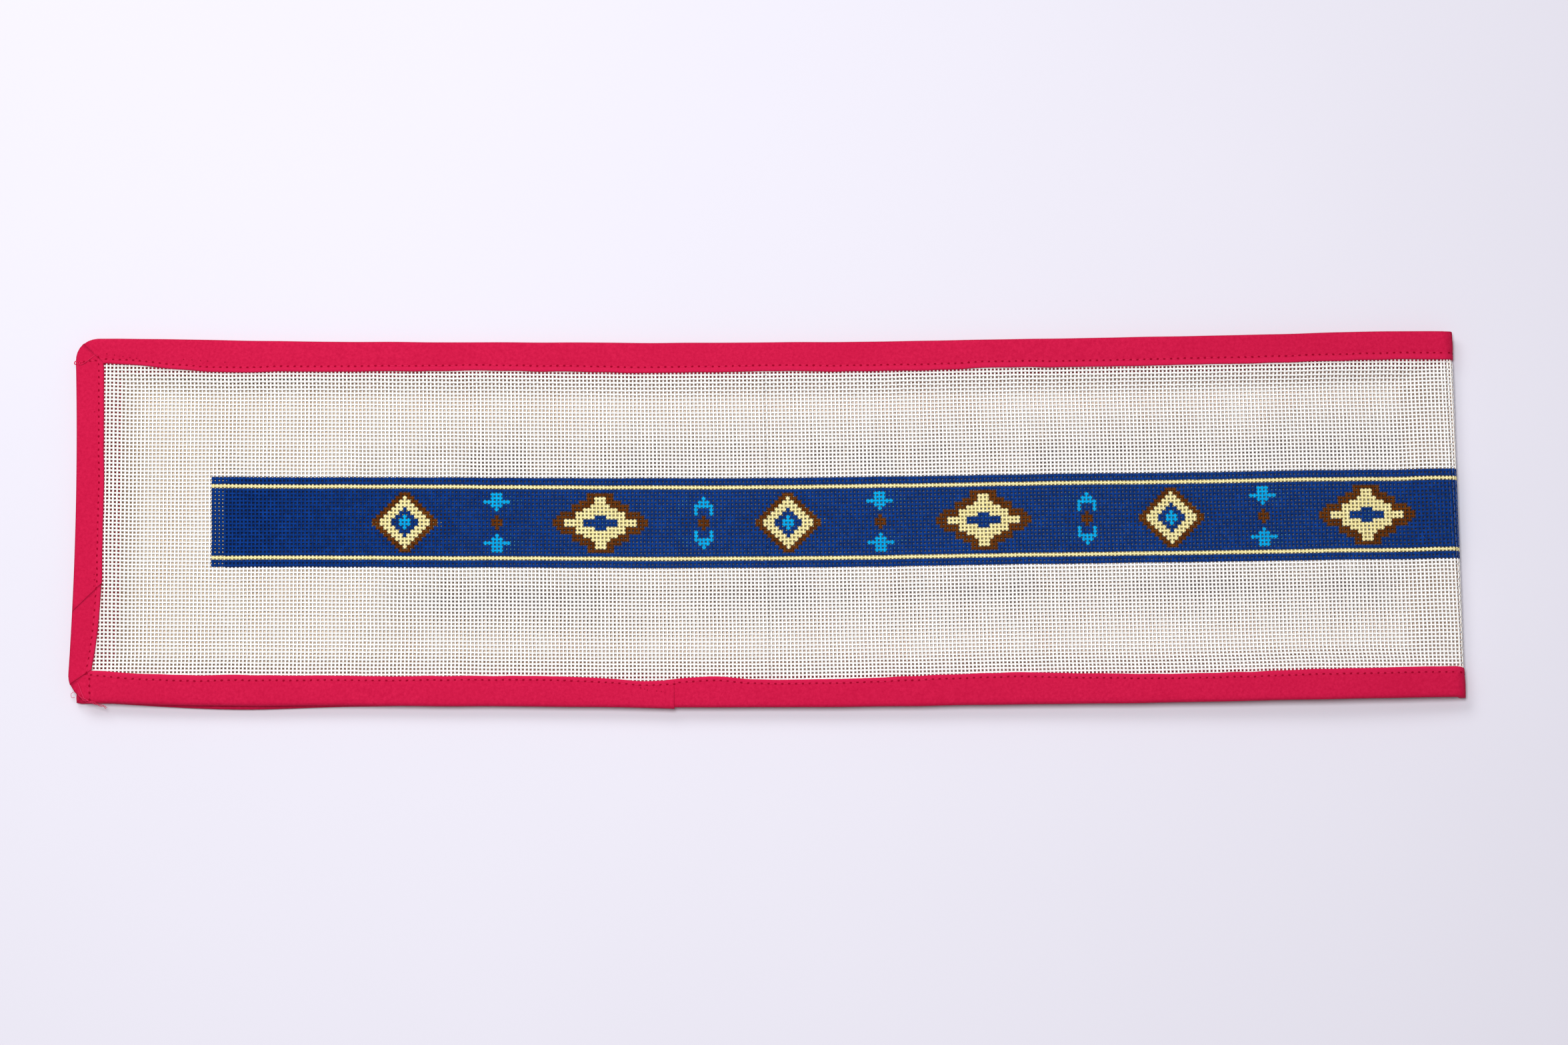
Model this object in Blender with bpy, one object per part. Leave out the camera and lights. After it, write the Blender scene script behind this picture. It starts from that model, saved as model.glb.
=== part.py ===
"""A needlepoint belt canvas, folded in half crosswise and lying flat.

The canvas is one strip of even-weave mono canvas whose two halves lie one on the other, joined by
the round fold at +X. Cotton tape binds its raw edges: along both long edges, round the fold too, and
across the free end of each half. Lengths are in millimetres until a mesh is made, which is in metres.
X runs along the belt towards the fold, Y towards the far edge, and Z up from the table.
"""
import math
from collections import namedtuple

import bmesh
import bpy

METRES = 0.001

# The folded panel
HALF_LENGTH = 255.0
CANVAS_THICK = 1.0
# One leaf of the folded tape, and how far the tape reaches in over the canvas
LEAF_THICK = 1.0
TAPE_REACH = 10.6
# The tape's leaves stand this far off the canvas, and tape ends this far off each other
CLEARANCE = 0.3
# The tape is round at its outer edge, and its slot starts this far in
EDGE_WALL = 1.2
HALF_STACK = CANVAS_THICK / 2 + CLEARANCE + LEAF_THICK
# Near a corner a point of the tape's section gives way to the round up to this far in
GIVES_WAY = 5.0
MITRE_GAP = CLEARANCE / math.sqrt(2)
MITRE_ROUNDS = 30
# The halves lie this far apart where they are closest
BETWEEN_HALVES = 0.4
LOWER_MIDDLE = HALF_STACK
UPPER_MIDDLE = 3 * HALF_STACK + BETWEEN_HALVES
# The lower half ends short of the upper one
LOWER_END_SHORT = 2.8
# The free ends are drawn in at the middle of the belt, and not at all this far to either side
END_DRAWN_IN = 1.8
END_FULL_AT = 69.0
UPPER_CORNER_RADIUS = 4.0
LOWER_CORNER_RADIUS = 2.5
# The near tape of the upper half is joined here
NEAR_JOIN_X = -33.8
# The lower half's far edge lies this far inside the upper one's
LOWER_FAR_INSIDE = 0.8
# The straight halves end this far short of the bend's centre
BEFORE_BEND = 0.5
# The canvas's corners are cut off
CANVAS_CORNER = 3.0

# The photo's outline and rise, a row for each section across the belt: x, the far and near edges of
# the upper half, how far the lower half stands out past the near edge, and how far the upper half
# rises off the lower one at its far and near edges. The edges run straight on past the end rows.
Section = namedtuple("Section", "x far near lower_out rise_far rise_near")
SECTIONS = (
    Section(-240.0, 69.3, -66.0, 1.2, 0.5, 0.3),
    Section(-221.0, 68.9, -66.8, 0.9, 0.3, 0.2),
    Section(-192.0, 68.3, -67.3, 1.1, 0.1, 0.1),
    Section(-163.0, 67.7, -67.9, 0.3, 0.0, 0.0),
    Section(-103.0, 67.1, -68.3, -0.9, 0.0, 0.1),
    Section(-44.0, 66.5, -69.2, -1.2, 0.0, 0.3),
    Section(0.0, 66.3, -69.4, -1.2, 0.0, 0.3),
    Section(45.0, 66.4, -69.3, -1.2, 0.1, 0.4),
    Section(104.0, 67.0, -68.6, -1.2, 0.3, 0.9),
    Section(164.0, 67.6, -68.2, -1.1, 0.7, 1.7),
    Section(208.0, 68.4, -67.5, -1.0, 1.0, 2.3),
    Section(232.0, 68.8, -67.2, -0.8, 0.9, 1.7),
    Section(255.0, 68.7, -66.9, -0.5, 0.6, 0.6),
)

# How finely the solids are cut up: the canvas and its tapes share their places along the belt
FIRST_STATION_X = -228.0
UPPER_STATIONS = 22
LOWER_STATIONS = 14
FOLD_STEPS = 10
EDGE_STEPS = 6
ACROSS_STEPS = 8
END_STATIONS = 10
# Rings of a tape near its mitre, as shares of the way to the plain tape, which starts this far on
CORNER_SHARES = (0.12, 0.3, 0.6, 1.0)
PAST_CORNER = 2.0
NEXT_STATION = 6.0
JOIN_ENDS = (NEAR_JOIN_X - CLEARANCE / 2, NEAR_JOIN_X + CLEARANCE / 2)

Look = namedtuple("Look", "red green blue roughness")
CANVAS_LOOK = Look(0.90, 0.87, 0.82, 0.80)
TAPE_LOOK = Look(0.74, 0.012, 0.085, 0.85)


def section_at(x):
    """The section at x, eased smoothly between the two rows on either side of it."""
    rows = SECTIONS
    x = min(max(x, rows[0].x), rows[-1].x)
    after = next(i for i, row in enumerate(rows) if row.x >= x)
    after = max(after, 1)
    before = after - 1
    step = rows[after].x - rows[before].x
    t = (x - rows[before].x) / step

    def slope(index, column):
        low = rows[max(index - 1, 0)]
        high = rows[min(index + 1, len(rows) - 1)]
        return (high[column] - low[column]) / (high.x - low.x) * step

    values = [x]
    for column in range(1, len(Section._fields)):
        values.append(
            rows[before][column] * (2 * t**3 - 3 * t**2 + 1)
            + slope(before, column) * (t**3 - 2 * t**2 + t)
            + rows[after][column] * (3 * t**2 - 2 * t**3)
            + slope(after, column) * (t**3 - t**2)
        )
    return Section(*values)


def edges_at(x, lower):
    """The y of the near and the far edge of one half, lower from 0 for the upper half to 1."""
    row = section_at(x)
    return row.near - lower * row.lower_out, row.far - lower * LOWER_FAR_INSIDE


def upper_height(x, y):
    """The z of the middle of the upper half, which rises most behind the fold at the near edge."""
    row = section_at(x)
    across = (y - row.near) / (row.far - row.near)
    across = min(max(across, 0.0), 1.0)
    return UPPER_MIDDLE + row.rise_near + (row.rise_far - row.rise_near) * across


def free_end(y, lower):
    """The x of the free end of the upper half (lower 0) or of the lower one (lower 1)."""
    drawn_in = END_DRAWN_IN * (1 - (y / END_FULL_AT) ** 2)
    return -HALF_LENGTH + max(drawn_in, 0.0) + lower * LOWER_END_SHORT


def fold_at(y):
    """The centre and radius of the fold's round bend, to the middle of the canvas, at y."""
    top = upper_height(HALF_LENGTH, y)
    radius = (top - LOWER_MIDDLE) / 2
    return HALF_LENGTH - HALF_STACK - radius, LOWER_MIDDLE + radius, radius


class Upper:
    """A place along the upper half, at x."""

    lower = 0.0

    def __init__(self, x):
        self.x = x

    def point(self, y, out, x=None):
        """The point on the cloth at y, out above its middle."""
        x = self.x if x is None else x
        return x, y, upper_height(x, y) + out


class Lower:
    """A place along the lower half, whose painted side faces down."""

    lower = 1.0

    def __init__(self, x):
        self.x = x

    def point(self, y, out, x=None):
        x = self.x if x is None else x
        return x, y, LOWER_MIDDLE - out


class Fold:
    """A place on the round bend, turn from 0 at its top to 1 at its foot."""

    x = HALF_LENGTH

    def __init__(self, turn):
        self.lower = turn
        self.angle = math.pi * (0.5 - turn)

    def point(self, y, out, x=None):
        centre_x, centre_z, radius = fold_at(y)
        reach = radius + out
        return centre_x + reach * math.cos(self.angle), y, centre_z + reach * math.sin(self.angle)


def spaced(start, end, count):
    """count numbers from start to end."""
    return [start + (end - start) * i / (count - 1) for i in range(count)]


def straight_end():
    """The x where the straight halves meet the fold, clear of its bend at every y."""
    last = SECTIONS[-1]
    return min(fold_at(y)[0] for y in (last.near, last.far)) - BEFORE_BEND


def upper_places():
    """Places along the upper half, the ends of the near tapes at their join among them."""
    plain = spaced(FIRST_STATION_X, straight_end(), UPPER_STATIONS)
    return [Upper(x) for x in sorted([*plain, *JOIN_ENDS])]


def belt_places():
    """Places along the upper half, round the fold and back along the lower half."""
    fold = [Fold(i / FOLD_STEPS) for i in range(FOLD_STEPS + 1)]
    lower = [Lower(x) for x in spaced(straight_end(), FIRST_STATION_X, LOWER_STATIONS)]
    return upper_places() + fold + lower


def tape_profile():
    """The tape's section: (in from the edge, out from the canvas's middle), in order round it."""
    outline = [(TAPE_REACH, HALF_STACK)]
    for i in range(EDGE_STEPS + 1):
        angle = math.pi * i / EDGE_STEPS
        outline.append((HALF_STACK * (1 - math.sin(angle)), HALF_STACK * math.cos(angle)))
    outline.append((TAPE_REACH, -HALF_STACK))
    slot = CANVAS_THICK / 2 + CLEARANCE
    outline += [(TAPE_REACH, -slot), (EDGE_WALL, -slot), (EDGE_WALL, slot), (TAPE_REACH, slot)]
    return outline


def rounding(along, radius):
    """How far the edge is drawn in at this distance from a corner of that radius."""
    short = max(radius - along, 0.0)
    return radius - math.sqrt(max(radius * radius - short * short, 0.0))


def rounded(inwards, along, radius):
    """Where a point of the tape's section lies near a corner: its outer part gives way most."""
    share = max(1 - inwards / GIVES_WAY, 0.0)
    return inwards + rounding(along, radius) * share


def on_mitre(inwards, radius):
    """How far in from both edges a point of the section lies on the corner's diagonal."""
    place = inwards
    for _ in range(MITRE_ROUNDS):
        place = 0.5 * (place + rounded(inwards, place, radius))
    return place


class Corner:
    """The corner of one half at its free end, near or far."""

    def __init__(self, kind, near):
        self.kind = kind
        self.near = near
        self.radius = LOWER_CORNER_RADIUS if kind.lower else UPPER_CORNER_RADIUS
        self.edge = self.edge_at(-HALF_LENGTH)
        self.inward = 1 if near else -1
        self.end = free_end(self.edge, kind.lower)

    def edge_at(self, x):
        """The y of this corner's long edge at x."""
        near_y, far_y = edges_at(x, self.kind.lower)
        return near_y if self.near else far_y

    def long_rings(self):
        """Rings of the long tape from its mitre on: the corner's round fades out along them."""
        profile = tape_profile()
        plain_x = self.end + TAPE_REACH + PAST_CORNER
        rings = []
        for share in (0.0, *CORNER_SHARES):
            ring = []
            for inwards, out in profile:
                mitre_x = self.end + on_mitre(inwards, self.radius) + MITRE_GAP
                x = mitre_x + (plain_x - mitre_x) * share
                shift = rounded(inwards, x - MITRE_GAP * (1 - share) - self.end, self.radius)
                edge = self.edge + (self.edge_at(x) - self.edge) * share
                y = edge + self.inward * shift
                ring.append(self.kind(x).point(y, out))
            rings.append(ring)
        return rings

    def end_rings(self):
        """Rings of the end tape from its mitre on, in the same way."""
        profile = tape_profile()
        plain = TAPE_REACH + PAST_CORNER
        rings = []
        for share in (0.0, *CORNER_SHARES):
            ring = []
            for inwards, out in profile:
                mitre = on_mitre(inwards, self.radius) + MITRE_GAP
                along = mitre + (plain - mitre) * share
                y = self.edge + self.inward * along
                shift = rounded(inwards, along - MITRE_GAP * (1 - share), self.radius)
                x = self.end + (free_end(y, self.kind.lower) - self.end) * share + shift
                ring.append(self.kind(x).point(y, out))
            rings.append(ring)
        return rings


def long_ring(place, near):
    """The tape's section at one place along a long edge."""
    near_y, far_y = edges_at(place.x, place.lower)
    edge, inward = (near_y, 1) if near else (far_y, -1)
    return [place.point(edge + inward * inwards, out) for inwards, out in tape_profile()]


def far_tape():
    """Rings of the far tape, from the upper half's corner round the fold to the lower half's."""
    upper, lower = Corner(Upper, False).long_rings(), Corner(Lower, False).long_rings()
    return upper + [long_ring(place, False) for place in belt_places()] + lower[::-1]


def near_tape():
    """Rings of the near tape, from the join in the upper half round the fold."""
    lower = Corner(Lower, True).long_rings()
    places = [place for place in belt_places() if place.lower or place.x >= JOIN_ENDS[1]]
    return [long_ring(place, True) for place in places] + lower[::-1]


def near_left_tape():
    """Rings of the short near tape of the upper half, from its corner to the join."""
    rings = Corner(Upper, True).long_rings()
    places = [place for place in upper_places() if place.x <= JOIN_ENDS[0]]
    return rings + [long_ring(place, True) for place in places]


def end_tape(kind):
    """Rings of the tape across a free end, from the near corner to the far one."""
    near, far = Corner(kind, True), Corner(kind, False)
    first, last = near.end_rings(), far.end_rings()
    plain = TAPE_REACH + PAST_CORNER + NEXT_STATION
    rings = []
    for y in spaced(near.edge + plain, far.edge - plain, END_STATIONS):
        start = free_end(y, kind.lower)
        rings.append([kind(start).point(y, out, start + w) for w, out in tape_profile()])
    return first + rings + last[::-1]


def bridge(rings):
    """Faces between rings of the same number of points, with both ends filled."""
    mesh = bmesh.new()
    loops = [[mesh.verts.new([c * METRES for c in point]) for point in ring] for ring in rings]
    count = len(loops[0])
    for first, second in zip(loops, loops[1:]):
        for i in range(count):
            j = (i + 1) % count
            mesh.faces.new((first[i], first[j], second[j], second[i]))
    mesh.faces.new(loops[0][::-1])
    mesh.faces.new(loops[-1])
    bmesh.ops.recalc_face_normals(mesh, faces=mesh.faces)
    bmesh.ops.triangulate(mesh, faces=[f for f in mesh.faces if len(f.verts) > 4])
    return mesh


def canvas_rings():
    """Rings round the canvas from one free end to the other, each a flat section across it."""
    inset = EDGE_WALL + CLEARANCE
    upper_end = free_end(0.0, 0.0) + inset + END_DRAWN_IN / 2
    lower_end = free_end(0.0, 1.0) + inset + END_DRAWN_IN / 2
    first = [Upper(upper_end), Upper(upper_end + CANVAS_CORNER)]
    last = [Lower(lower_end + CANVAS_CORNER), Lower(lower_end)]
    places = first + belt_places() + last
    rings = []
    for index, place in enumerate(places):
        near_y, far_y = edges_at(place.x, place.lower)
        corner = CANVAS_CORNER if index in (0, len(places) - 1) else 0.0
        across = spaced(near_y + inset + corner, far_y - inset - corner, ACROSS_STEPS + 1)
        top = [place.point(y, CANVAS_THICK / 2) for y in across]
        bottom = [place.point(y, -CANVAS_THICK / 2) for y in across]
        rings.append(top + bottom[::-1])
    return rings


def material(name, look):
    """A plain cloth finish."""
    made = bpy.data.materials.new(name)
    made.use_nodes = True
    shader = made.node_tree.nodes["Principled BSDF"]
    shader.inputs["Base Color"].default_value = (look.red, look.green, look.blue, 1.0)
    shader.inputs["Roughness"].default_value = look.roughness
    shader.inputs["Metallic"].default_value = 0.0
    return made


def add(name, rings, look):
    """One closed solid through the rings."""
    shape = bridge(rings)
    mesh = bpy.data.meshes.new(name)
    shape.to_mesh(mesh)
    shape.free()
    mesh.materials.append(material(name, look))
    mesh.shade_smooth()
    mesh.set_sharp_from_angle(angle=math.radians(40))
    bpy.context.scene.collection.objects.link(bpy.data.objects.new(name, mesh))


def main():
    for thing in list(bpy.data.objects):
        bpy.data.objects.remove(thing, do_unlink=True)
    add("canvas", canvas_rings(), CANVAS_LOOK)
    add("binding_far", far_tape(), TAPE_LOOK)
    add("binding_near", near_tape(), TAPE_LOOK)
    add("binding_near_left", near_left_tape(), TAPE_LOOK)
    add("binding_end_upper", end_tape(Upper), TAPE_LOOK)
    add("binding_end_lower", end_tape(Lower), TAPE_LOOK)


main()
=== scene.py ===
"""The looks of a needlepoint belt canvas: woven threads, painted band, taped and stitched edges.

Lengths are in millimetres until a mesh is made, which is in metres. A place on the cloth is told by
three lengths. s runs along the belt from the free end of the upper half, round the fold and back
under to the other free end, and on the upper half it is the place's x. y runs across the belt. out is
how far the place is above the middle of the cloth, on its painted side.
"""
import math
from collections import namedtuple
from functools import partial

import bpy
import numpy as np
from mathutils import Matrix, Vector


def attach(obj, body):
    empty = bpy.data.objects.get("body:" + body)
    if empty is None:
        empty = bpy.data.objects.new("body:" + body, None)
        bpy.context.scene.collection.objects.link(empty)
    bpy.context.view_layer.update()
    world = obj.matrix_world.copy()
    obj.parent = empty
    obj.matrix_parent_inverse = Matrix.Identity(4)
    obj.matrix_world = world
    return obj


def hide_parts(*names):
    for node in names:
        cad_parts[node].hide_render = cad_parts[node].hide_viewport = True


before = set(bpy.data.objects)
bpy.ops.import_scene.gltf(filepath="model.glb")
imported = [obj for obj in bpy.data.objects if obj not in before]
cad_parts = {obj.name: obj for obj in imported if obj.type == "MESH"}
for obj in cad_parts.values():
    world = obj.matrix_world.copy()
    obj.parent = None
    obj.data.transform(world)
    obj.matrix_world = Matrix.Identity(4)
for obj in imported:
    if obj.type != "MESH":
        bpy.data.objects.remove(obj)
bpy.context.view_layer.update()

METRES = 0.001


def rows_of(kind, rows):
    """A table's rows with their columns named."""
    return tuple(kind(*row) for row in rows)


# The two long edges, the two halves, and the two ways that a tape runs
FAR, NEAR = False, True
UPPER, LOWER = 0, 1
ALONG_BELT, ACROSS_END = False, True

# The folded panel
HALF_LENGTH = 255.0
FOLD_REACH = 254.0
FOLD_START = 251.7
FOLD_LENGTH = 7.2
THERE_AND_BACK = 2 * FOLD_START + FOLD_LENGTH
LOWER_MIDDLE = 1.60
UPPER_MIDDLE = 5.5
LOWER_FAR_INSIDE = 0.8
LOWER_END_SHORT = 2.8
END_DRAWN_IN = 1.8
END_FULL_AT = 69.0

# The photo's outline and rise, a row for each section across the belt: x, the far and near edges of
# the upper half, how far the lower half stands out past the near edge, and how far the upper half
# rises at its far and near edges
Section = namedtuple("Section", "x far near lower_out rise_far rise_near")
SECTIONS = rows_of(Section, (
    (-240.0, 69.3, -66.0, -0.2, -0.3, -0.4),
    (-221.0, 68.9, -66.8, 0.3, -0.4, -0.4),
    (-192.0, 68.3, -67.3, 1.1, -0.5, -0.5),
    (-163.0, 67.7, -67.4, 0.3, -0.6, -0.6),
    (-103.0, 67.1, -68.0, -0.9, -0.6, -0.5),
    (-44.0, 66.5, -68.8, -1.2, -0.5, -0.2),
    (0.0, 66.3, -69.1, -1.2, -0.3, 0.0),
    (45.0, 66.4, -69.0, -1.2, -0.1, 0.3),
    (104.0, 67.0, -68.6, -1.2, 0.2, 0.8),
    (164.0, 67.6, -68.2, -1.1, 0.6, 1.6),
    (208.0, 68.4, -67.5, -1.0, 0.9, 2.2),
    (232.0, 68.8, -67.2, -0.8, 0.9, 1.7),
    (255.0, 68.7, -66.9, -0.5, 0.6, 0.6),
))

# Threads: 18 to the inch and a hair wider along the belt, a little closer across it, and leaning
PITCH = 1.0015 * 25.4 / 18
ROW_PITCH = 1.400
LEAN = -0.0142
# The painted band starts here, and its middle line bows with the belt
BAND_START = -204.55
Bow = namedtuple("Bow", "x middle")
BOWS = rows_of(Bow, (
    (-250.0, 1.2),
    (-205.0, 0.75),
    (-172.0, 0.5),
    (-110.0, -0.1),
    (-50.0, -0.75),
    (-5.0, -0.95),
    (40.0, -0.75),
    (101.0, -0.15),
    (163.0, 0.2),
    (208.0, 0.7),
    (255.0, 0.67),
))
# Threads are counted from the band's start and from its middle; the tapes hide the first and last
FIRST_COLUMN = -33
LAST_COLUMN = 681
ROWS_EACH_WAY = 44
THREAD_WIDTH = 0.89
PAINTED_WIDTH = 1.02
THREAD_TOP = 0.15
THREAD_BOTTOM = 0.06
CRIMP = 0.07
# How far a crossing strays from its place, and how much the width varies by thread and by crossing
STRAY = 0.022
WIDTH_BY_THREAD = 0.05
WIDTH_BY_CROSSING = 0.03
PIECES_OF_CANVAS = (
    "canvas_upper_end",
    "canvas_upper_fold",
    "canvas_lower_fold",
    "canvas_lower_end",
)
# Uneven waves: of the threads' places, of the canvas's height, and of the tape's edges and height
Wave = namedtuple("Wave", "size longest")
ROWS_WANDER = Wave(0.12, 70.0)
COLUMNS_WANDER = Wave(0.12, 50.0)
CANVAS_WAVE = Wave(0.12, 95.0)
CANVAS_RIPPLE = Wave(0.07, 60.0)
TAPE_REACH_WAVE = Wave(0.16, 34.0)
TAPE_HIDDEN_WAVE = Wave(0.2, 40.0)
TAPE_PUFF = Wave(0.05, 22.0)
TAPE_EDGE_WAVE = Wave(0.12, 80.0)
# Past the tapes the canvas bulges a little more than they do at the fold
BULGE = 0.9
BULGE_FROM_EDGE = 9.3
BULGE_GROWS = 1.2
# Between the tapes the two halves bow towards each other till they almost meet at this height
LAYERS_MEET = 3.3
LAYERS_APART = 0.65
# The bow starts at the tapes' hidden leaves, or so far from the fold, and is full so much farther on
BOW_GROWS = 9.0
BOW_FROM_FOLD = 2.0
BOW_GROWS_FROM_FOLD = 19.0
# So much longer is the canvas round the fold than the middle of the tapes is
FOLD_STRETCH = 1.35

# The tape: the cloth lies in its slot, and its leaves reach in over the cloth
SLOT_HALF = 0.42
LEAF = 1.0
EDGE_ROUND = 1.4
FOLD_SQUARES = 0.8
FOLD_CORNER = 0.55
EDGE_STANDS_OUT = 0.3
END_STANDS_OUT = 0.8
# From a needle hole to the next, and how far the tape dips at a hole and between holes
STITCH = 2.5
STITCH_DIP = 0.14
DIP_BETWEEN = 0.03
PUFF_FROM_LIP = 2.5
MITRE_GAP = -0.05
JOIN_GAP = 0.16
# A crease is looked for by halving, between these places along the tape
CREASE_ROUNDS = 40
CREASE_LOW = -3.0
CREASE_HIGH = 60.0
SLANT_FADES = 17.0
NEAR_JOIN_X = -33.8
# How far in the tapes' hidden leaves reach: on the upper half so far past the ones that show, and on
# the lower half so far from the edge, where all the tapes' outer leaves reach LOWER_REACH
UPPER_HIDDEN_PAST = 0.4
LOWER_HIDDEN_FAR = 12.4
LOWER_HIDDEN_NEAR = 11.5
LOWER_HIDDEN_END = 13.6
LOWER_REACH = 10.6
# The corners of the free ends: how round each is, and the crease that its two tapes meet in, as how
# far in from the long edge it starts, at the end's edge, and how much farther in it is a
# millimetre on
Corner = namedtuple("Corner", "radius start slope")
UPPER_FAR_CORNER = Corner(8.5, -0.9, 0.96)
UPPER_NEAR_CORNER = Corner(11.0, 6.25, 0.70)
LOWER_CORNER = Corner(1.0, 0.0, 1.0)
# The outer part of a tape gives way at a corner, so far in as a share of the corner's radius
GIVES_WAY = 1.3
# The end tape is joined along a slant, from this y at its outer edge, rising so much a millimetre
SLANT_JOIN_OUTER = -33.1
SLANT_JOIN_RISE = 1.01

# How far the tapes reach in over the canvas on the side that shows
Reach = namedtuple("Reach", "x far near")
REACHES = rows_of(Reach, (
    (-246.0, 9.5, 12.0),
    (-236.0, 9.9, 11.2),
    (-221.0, 11.3, 11.2),
    (-206.0, 12.1, 11.1),
    (-192.0, 12.2, 11.3),
    (-180.0, 11.7, 11.2),
    (-150.0, 11.4, 10.8),
    (-103.0, 10.9, 11.1),
    (-60.0, 11.4, 10.6),
    (-46.0, 11.5, 9.7),
    (-34.0, 11.5, 10.4),
    (-19.5, 11.3, 11.3),
    (-8.0, 11.1, 10.4),
    (15.0, 11.2, 10.1),
    (60.0, 11.3, 11.1),
    (90.0, 10.8, 11.7),
    (120.0, 11.1, 11.0),
    (149.0, 11.0, 10.5),
    (208.0, 10.9, 11.1),
    (255.0, 10.8, 11.3),
))
# How far the stitches are from the tape's inner edge
StitchIn = namedtuple("StitchIn", "x far near")
STITCH_INS = rows_of(StitchIn, (
    (-250.0, 1.6, 1.6),
    (-236.0, 1.6, 2.0),
    (-221.0, 1.6, 2.2),
    (-190.0, 1.8, 2.0),
    (-150.0, 1.9, 1.7),
    (0.0, 2.1, 1.55),
    (160.0, 2.3, 1.8),
    (255.0, 2.4, 2.2),
))
END_STITCH_IN = 1.75
# How far the end tape reaches in over the painted side, by y
EndReach = namedtuple("EndReach", "y reach")
END_REACHES = rows_of(EndReach, (
    (-64.0, 8.5),
    (-54.0, 8.8),
    (-44.0, 9.6),
    (-34.0, 10.2),
    (0.0, 10.3),
    (50.0, 10.3),
    (64.0, 10.5),
))


def curve(t, start, leave, end, arrive):
    """The smooth curve from start to end at the shares t, with its slopes at both."""
    return (
        start * (2 * t**3 - 3 * t**2 + 1)
        + leave * (t**3 - 2 * t**2 + t)
        + end * (3 * t**2 - 2 * t**3)
        + arrive * (t**3 - t**2)
    )


def eased(at, rows, column):
    """A column of a table at these places, eased smoothly from row to row."""
    places = np.array([row[0] for row in rows])
    values = np.array([getattr(row, column) for row in rows])
    at = np.clip(at, places[0], places[-1])
    after = np.clip(np.searchsorted(places, at), 1, len(places) - 1)
    before = after - 1
    slopes = np.gradient(values, places)
    step = places[after] - places[before]
    t = (at - places[before]) / step
    return curve(t, values[before], slopes[before] * step, values[after], slopes[after] * step)


def wobble(at, wave, seed):
    """A smooth, small and uneven wave along at, the sum of four sines."""
    draw = np.random.default_rng(seed)
    total = np.zeros_like(np.asarray(at, float))
    for octave in range(4):
        length = wave.longest / (1.0 + 0.8 * octave) * draw.uniform(0.8, 1.2)
        total += np.sin(2 * np.pi * (at / length + draw.uniform())) / (1.5 + octave)
    return wave.size * total / 1.6


def section_x(s):
    """The x whose section holds at s."""
    return np.where(s < FOLD_START, s, np.minimum(THERE_AND_BACK - s, HALF_LENGTH))


def lowered(s):
    """How far s is on its way to the lower half: 0 on the upper one, 1 on the lower one."""
    return np.clip((s - FOLD_START) / FOLD_LENGTH, 0.0, 1.0)


def edge_y(s, near):
    """The y of the near or far edge at s."""
    x = section_x(s)
    if near:
        return eased(x, SECTIONS, "near") - lowered(s) * eased(x, SECTIONS, "lower_out")
    return eased(x, SECTIONS, "far") - lowered(s) * LOWER_FAR_INSIDE


def upper_height(x, y):
    """The z of the middle of the upper half."""
    near, far = eased(x, SECTIONS, "near"), eased(x, SECTIONS, "far")
    across = np.clip((y - near) / (far - near), 0.0, 1.0)
    rise = eased(x, SECTIONS, "rise_near") * (1 - across) + eased(x, SECTIONS, "rise_far") * across
    return UPPER_MIDDLE + rise


def on_cloth(s, y, out):
    """The points of the cloth at s, y and out."""
    s, y, out = (a.astype(float) for a in np.broadcast_arrays(s, y, out))
    turn = lowered(s)
    top = upper_height(np.minimum(s, FOLD_START), y)
    radius = (upper_height(FOLD_START, y) - LOWER_MIDDLE) / 2
    angle = np.pi * turn
    reach = radius + out
    round_x = FOLD_REACH - radius + reach * np.sin(angle)
    round_z = LOWER_MIDDLE + radius + reach * np.cos(angle)
    x = np.where(turn <= 0, s, np.where(turn >= 1, THERE_AND_BACK - s, round_x))
    z = np.where(turn <= 0, top + out, np.where(turn >= 1, LOWER_MIDDLE - out, round_z))
    return np.stack([x, y, z], axis=-1)


def free_end(y, lower):
    """The x of the free end of the upper half (lower 0) or of the lower one (lower 1)."""
    drawn_in = np.maximum(END_DRAWN_IN * (1 - (y / END_FULL_AT) ** 2), 0.0)
    return -HALF_LENGTH + drawn_in + lower * LOWER_END_SHORT


def shown_reach(s, near):
    """How far in the long tape reaches over the painted side of the cloth at s."""
    shown = eased(section_x(s), REACHES, "near" if near else "far")
    return shown + (LOWER_REACH - shown) * lowered(s)


def hidden_reach(s, near):
    """How far in it reaches on the side that the fold hides."""
    past = shown_reach(s, near) + UPPER_HIDDEN_PAST
    lower = LOWER_HIDDEN_NEAR if near else LOWER_HIDDEN_FAR
    return past + (lower - past) * lowered(s)


def end_reach(y, lower):
    """The same for an end tape, on the painted side."""
    shown = eased(y, END_REACHES, "reach")
    return shown + (LOWER_REACH - shown) * lower


def hidden_end_reach(y, lower):
    """The same for an end tape, on the hidden side."""
    past = end_reach(y, lower) + UPPER_HIDDEN_PAST
    return past + (LOWER_HIDDEN_END - past) * lower


def along(x, lower):
    """The s of a place at x on the upper half (lower 0) or the lower one (lower 1)."""
    return THERE_AND_BACK - x if lower else x


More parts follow.
